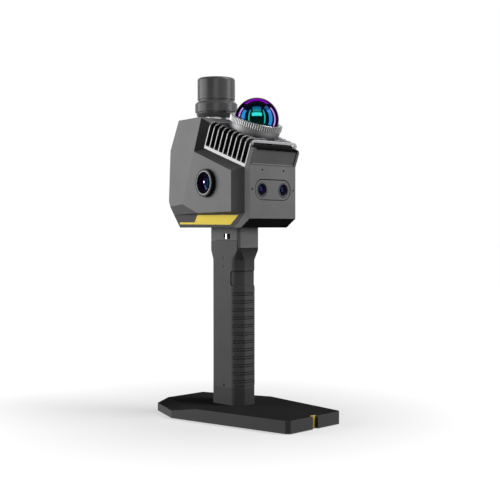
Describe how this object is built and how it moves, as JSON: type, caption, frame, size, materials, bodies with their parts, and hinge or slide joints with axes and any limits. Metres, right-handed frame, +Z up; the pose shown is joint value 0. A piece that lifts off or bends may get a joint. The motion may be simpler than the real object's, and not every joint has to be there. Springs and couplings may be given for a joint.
{
  "type": "handheld laser scanner",
  "caption": "Handheld laser scanner with a faceted camera head, a tilted finned heat sink with a domed laser unit, a mast antenna, a battery grip and a ground plate.",
  "frame": {"origin": "on the floor, in the middle of the sole's underside plane where the grip's axis meets it", "axes": "+Z up along the grip, the front cameras face -Y, +X is the scanner's left hand side seen from the front"},
  "size_m": [0.1316, 0.2061, 0.3889],
  "materials": {
    "plate_black": "matt black anodised plate",
    "mark_yellow": "yellow insert",
    "sole_rubber": "matt rubber",
    "bolt_steel": "zinc plated steel",
    "screw_black": "blackened steel",
    "foot_black": "dark moulded plastic",
    "grip_plastic": "fine grained moulded plastic",
    "grip_rubber": "soft ribbed rubber",
    "trigger_plastic": "soft touch plastic",
    "cell_wrap": "blue film over a metal can",
    "holder_plastic": "ivory moulded plastic",
    "contact_brass": "plated brass",
    "spring_steel": "spring steel",
    "switch_black": "small moulded parts",
    "frame_metal": "dark anodised frame",
    "bare_metal": "bare machined aluminium",
    "bright_steel": "bright steel",
    "board_green": "green solder mask",
    "sensor_can": "plated can",
    "cover_grey": "fine grained grey paint",
    "stripe_yellow": "yellow inlay",
    "barrel_black": "black anodised barrel",
    "lens_glass": "coated dark glass",
    "module_black": "camera module housing",
    "ring_dark": "dark anodised ring",
    "sink_silver": "bead blasted aluminium",
    "laser_black": "black anodised aluminium",
    "dome_dark": "polished dark dome that lets infrared light through",
    "rotor_metal": "turned aluminium",
    "mirror_glass": "polished mirror",
    "socket_metal": "machined aluminium",
    "antenna_grey": "fine grained dark plastic",
    "helix_copper": "copper on a plastic former",
    "rear_black": "dark moulded plastic",
    "light_pipe": "clear green light guide",
    "button_black": "soft touch plastic"
  },
  "bodies": {
    "root": {"base_plate": "plate_black", "ground_mark": "mark_yellow", "base_sole": "sole_rubber", "base_bolts": "bolt_steel", "handle_foot": "foot_black", "grip_tube": "grip_plastic", "grip_rubber": "grip_rubber", "grip_screws": "screw_black", "battery_cells": "cell_wrap", "battery_holder": "holder_plastic", "battery_contacts": "contact_brass", "trigger_springs": "spring_steel", "push_switches": "switch_black", "neck_core": "bare_metal", "neck_block": "grip_plastic", "strap_pins": "bright_steel", "neck_screws": "bolt_steel", "head_frame": "frame_metal", "main_board": "board_green", "receiver_board": "board_green", "motion_sensor": "sensor_can", "data_port": "bright_steel", "left_side_cover": "cover_grey", "right_side_cover": "cover_grey", "left_stripe": "stripe_yellow", "right_stripe": "stripe_yellow", "left_lens_barrel": "barrel_black", "left_lens": "lens_glass", "left_camera_module": "module_black", "right_lens_barrel": "barrel_black", "right_lens": "lens_glass", "right_camera_module": "module_black", "side_lens_rings": "bright_steel", "front_cover": "cover_grey", "front_screws": "screw_black", "front_camera_plate": "cover_grey", "front_lens_rings": "ring_dark", "front_lenses": "lens_glass", "front_camera_modules": "module_black", "heat_sink": "sink_silver", "lidar_body": "laser_black", "lidar_cup": "sink_silver", "lidar_ring": "sink_silver", "lidar_dome": "dome_dark", "lidar_motor": "bolt_steel", "antenna_socket": "socket_metal", "antenna_base": "antenna_grey", "antenna_radome": "antenna_grey", "antenna_helix": "helix_copper", "rear_cover": "rear_black", "rear_screws": "screw_black", "status_light": "light_pipe", "power_spring": "spring_steel", "flap_pin": "bright_steel"},
    "trigger": {"trigger": "trigger_plastic"},
    "power_button": {"power_button": "button_black"},
    "port_flap": {"port_flap": "rear_black"},
    "lidar_rotor": {"lidar_rotor": "rotor_metal", "lidar_mirror": "mirror_glass"}
  },
  "joints": [
    {"name": "trigger_slide", "type": "slide", "parent": "root", "child": "trigger", "axis": [0, 1, 0], "range_m": [0, 0.0007], "stiffness_N_per_m": 900, "springref_m": -0.001, "deforming": ["trigger_springs"]},
    {"name": "power_button_slide", "type": "slide", "parent": "root", "child": "power_button", "axis": [0, -1, 0], "range_m": [0, 0.001], "stiffness_N_per_m": 900, "springref_m": -0.001, "deforming": ["power_spring"]},
    {"name": "port_flap_hinge", "type": "hinge", "parent": "root", "child": "port_flap", "pos_m": [0, 0.0771, 0.2525], "axis": [-1, 0, 0], "range_deg": [0, 90]},
    {"name": "lidar_spin", "type": "hinge", "parent": "root", "child": "lidar_rotor", "pos_m": [0, -0.03401, 0.33255], "axis": [0, -0.3502, 0.9367], "continuous": true}
  ]
}
